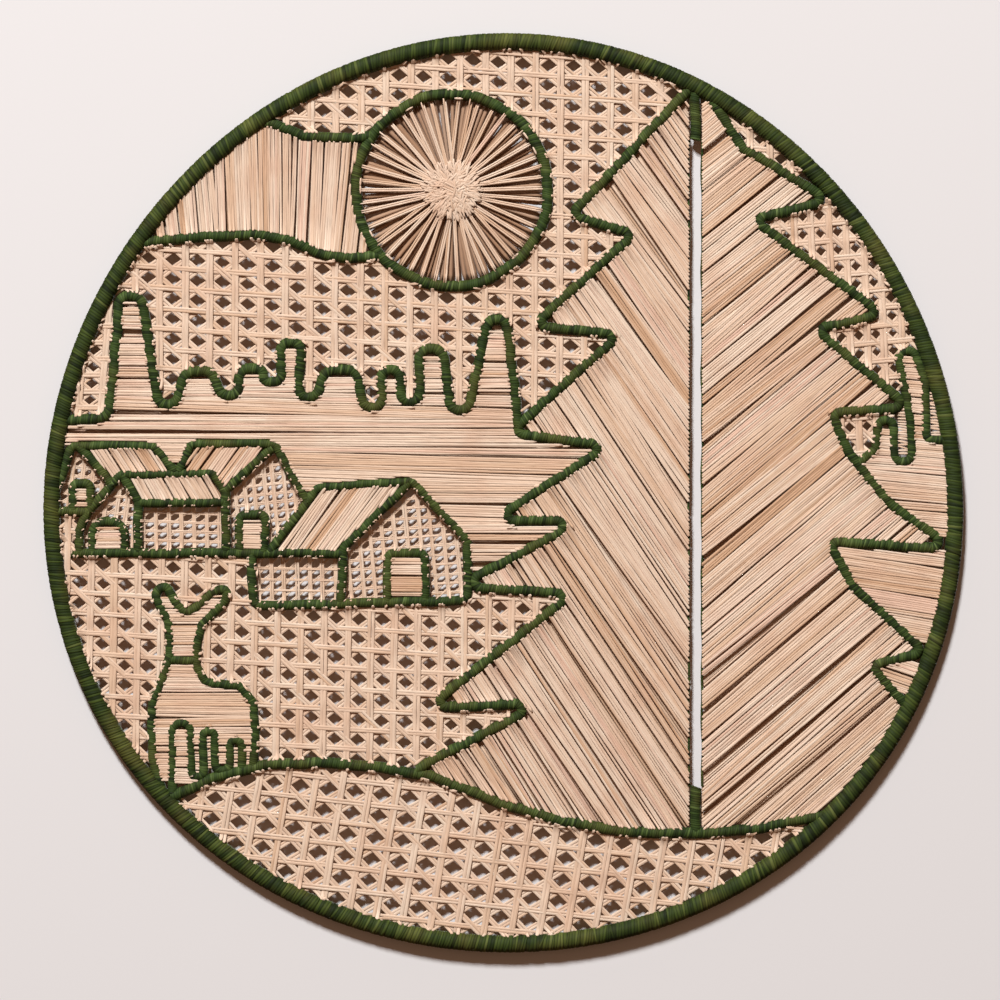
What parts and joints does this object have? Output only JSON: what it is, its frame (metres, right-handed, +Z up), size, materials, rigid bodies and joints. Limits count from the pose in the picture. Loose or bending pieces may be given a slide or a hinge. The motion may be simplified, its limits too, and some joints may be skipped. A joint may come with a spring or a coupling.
{
  "type": "woven wall hanging",
  "caption": "Round wall hanging of wound wire and woven natural palm, with a folk scene of sun, hills, fir tree, village houses and a long-necked animal.",
  "frame": {"origin": "on the flat back of the rim at its very top, where the rim lies against the wall", "axes": "+X to the right of the picture, +Y back into the wall, +Z up; the picture faces -Y"},
  "size_m": [0.3816, 0.0074, 0.3813],
  "materials": {
    "green_palm": "dyed palm fibre wound round wire, matte",
    "natural_palm": "undyed palm strands, soft sheen"
  },
  "bodies": {
    "root": {"animal_body_straw": "natural_palm", "animal_collar_wire": "green_palm", "animal_head_straw": "natural_palm", "animal_leg_straw": "natural_palm", "animal_leg_wire": "green_palm", "animal_wire": "green_palm", "cloud_lower_wire": "green_palm", "cloud_straw": "natural_palm", "cloud_upper_wire": "green_palm", "far_hill_wire": "green_palm", "field_lower_straw": "natural_palm", "field_middle_straw": "natural_palm", "field_upper_straw": "natural_palm", "foreground_lace": "natural_palm", "ground_wire": "green_palm", "hill_straw": "natural_palm", "hill_wire": "green_palm", "house_a_floor_wire": "green_palm", "house_a_gable_lace": "natural_palm", "house_a_gable_wire": "green_palm", "house_a_outline_wire": "green_palm", "house_a_roof_straw": "natural_palm", "house_a_window_straw": "natural_palm", "house_a_window_wire": "green_palm", "house_b_door_straw": "natural_palm", "house_b_door_wire": "green_palm", "house_b_gable_lace": "natural_palm", "house_b_gable_wire": "green_palm", "house_b_outline_wire": "green_palm", "house_b_roof_straw": "natural_palm", "house_c_divider_wire": "green_palm", "house_c_door_straw": "natural_palm", "house_c_door_wire": "green_palm", "house_c_eave_wire": "green_palm", "house_c_gable_lace": "natural_palm", "house_c_outline_wire": "green_palm", "house_c_roof_straw": "natural_palm", "house_c_wall_lace": "natural_palm", "house_d_door_straw": "natural_palm", "house_d_door_wire": "green_palm", "house_d_gable_lace": "natural_palm", "house_d_gable_wire": "green_palm", "house_d_outline_wire": "green_palm", "house_d_roof_straw": "natural_palm", "house_d_wall_lace": "natural_palm", "meadow_lace": "natural_palm", "rim": "green_palm", "sky_crest_lace": "natural_palm", "sky_lace": "natural_palm", "sky_left_lace": "natural_palm", "sky_notch_lace": "natural_palm", "sky_right_lace": "natural_palm", "sun_rays": "natural_palm", "sun_ring": "green_palm", "tree_left_straw": "natural_palm", "tree_left_wire": "green_palm", "tree_right_straw": "natural_palm", "tree_right_wire": "green_palm", "trunk_wires": "green_palm", "village_base_wire": "green_palm"}
  },
  "joints": []
}
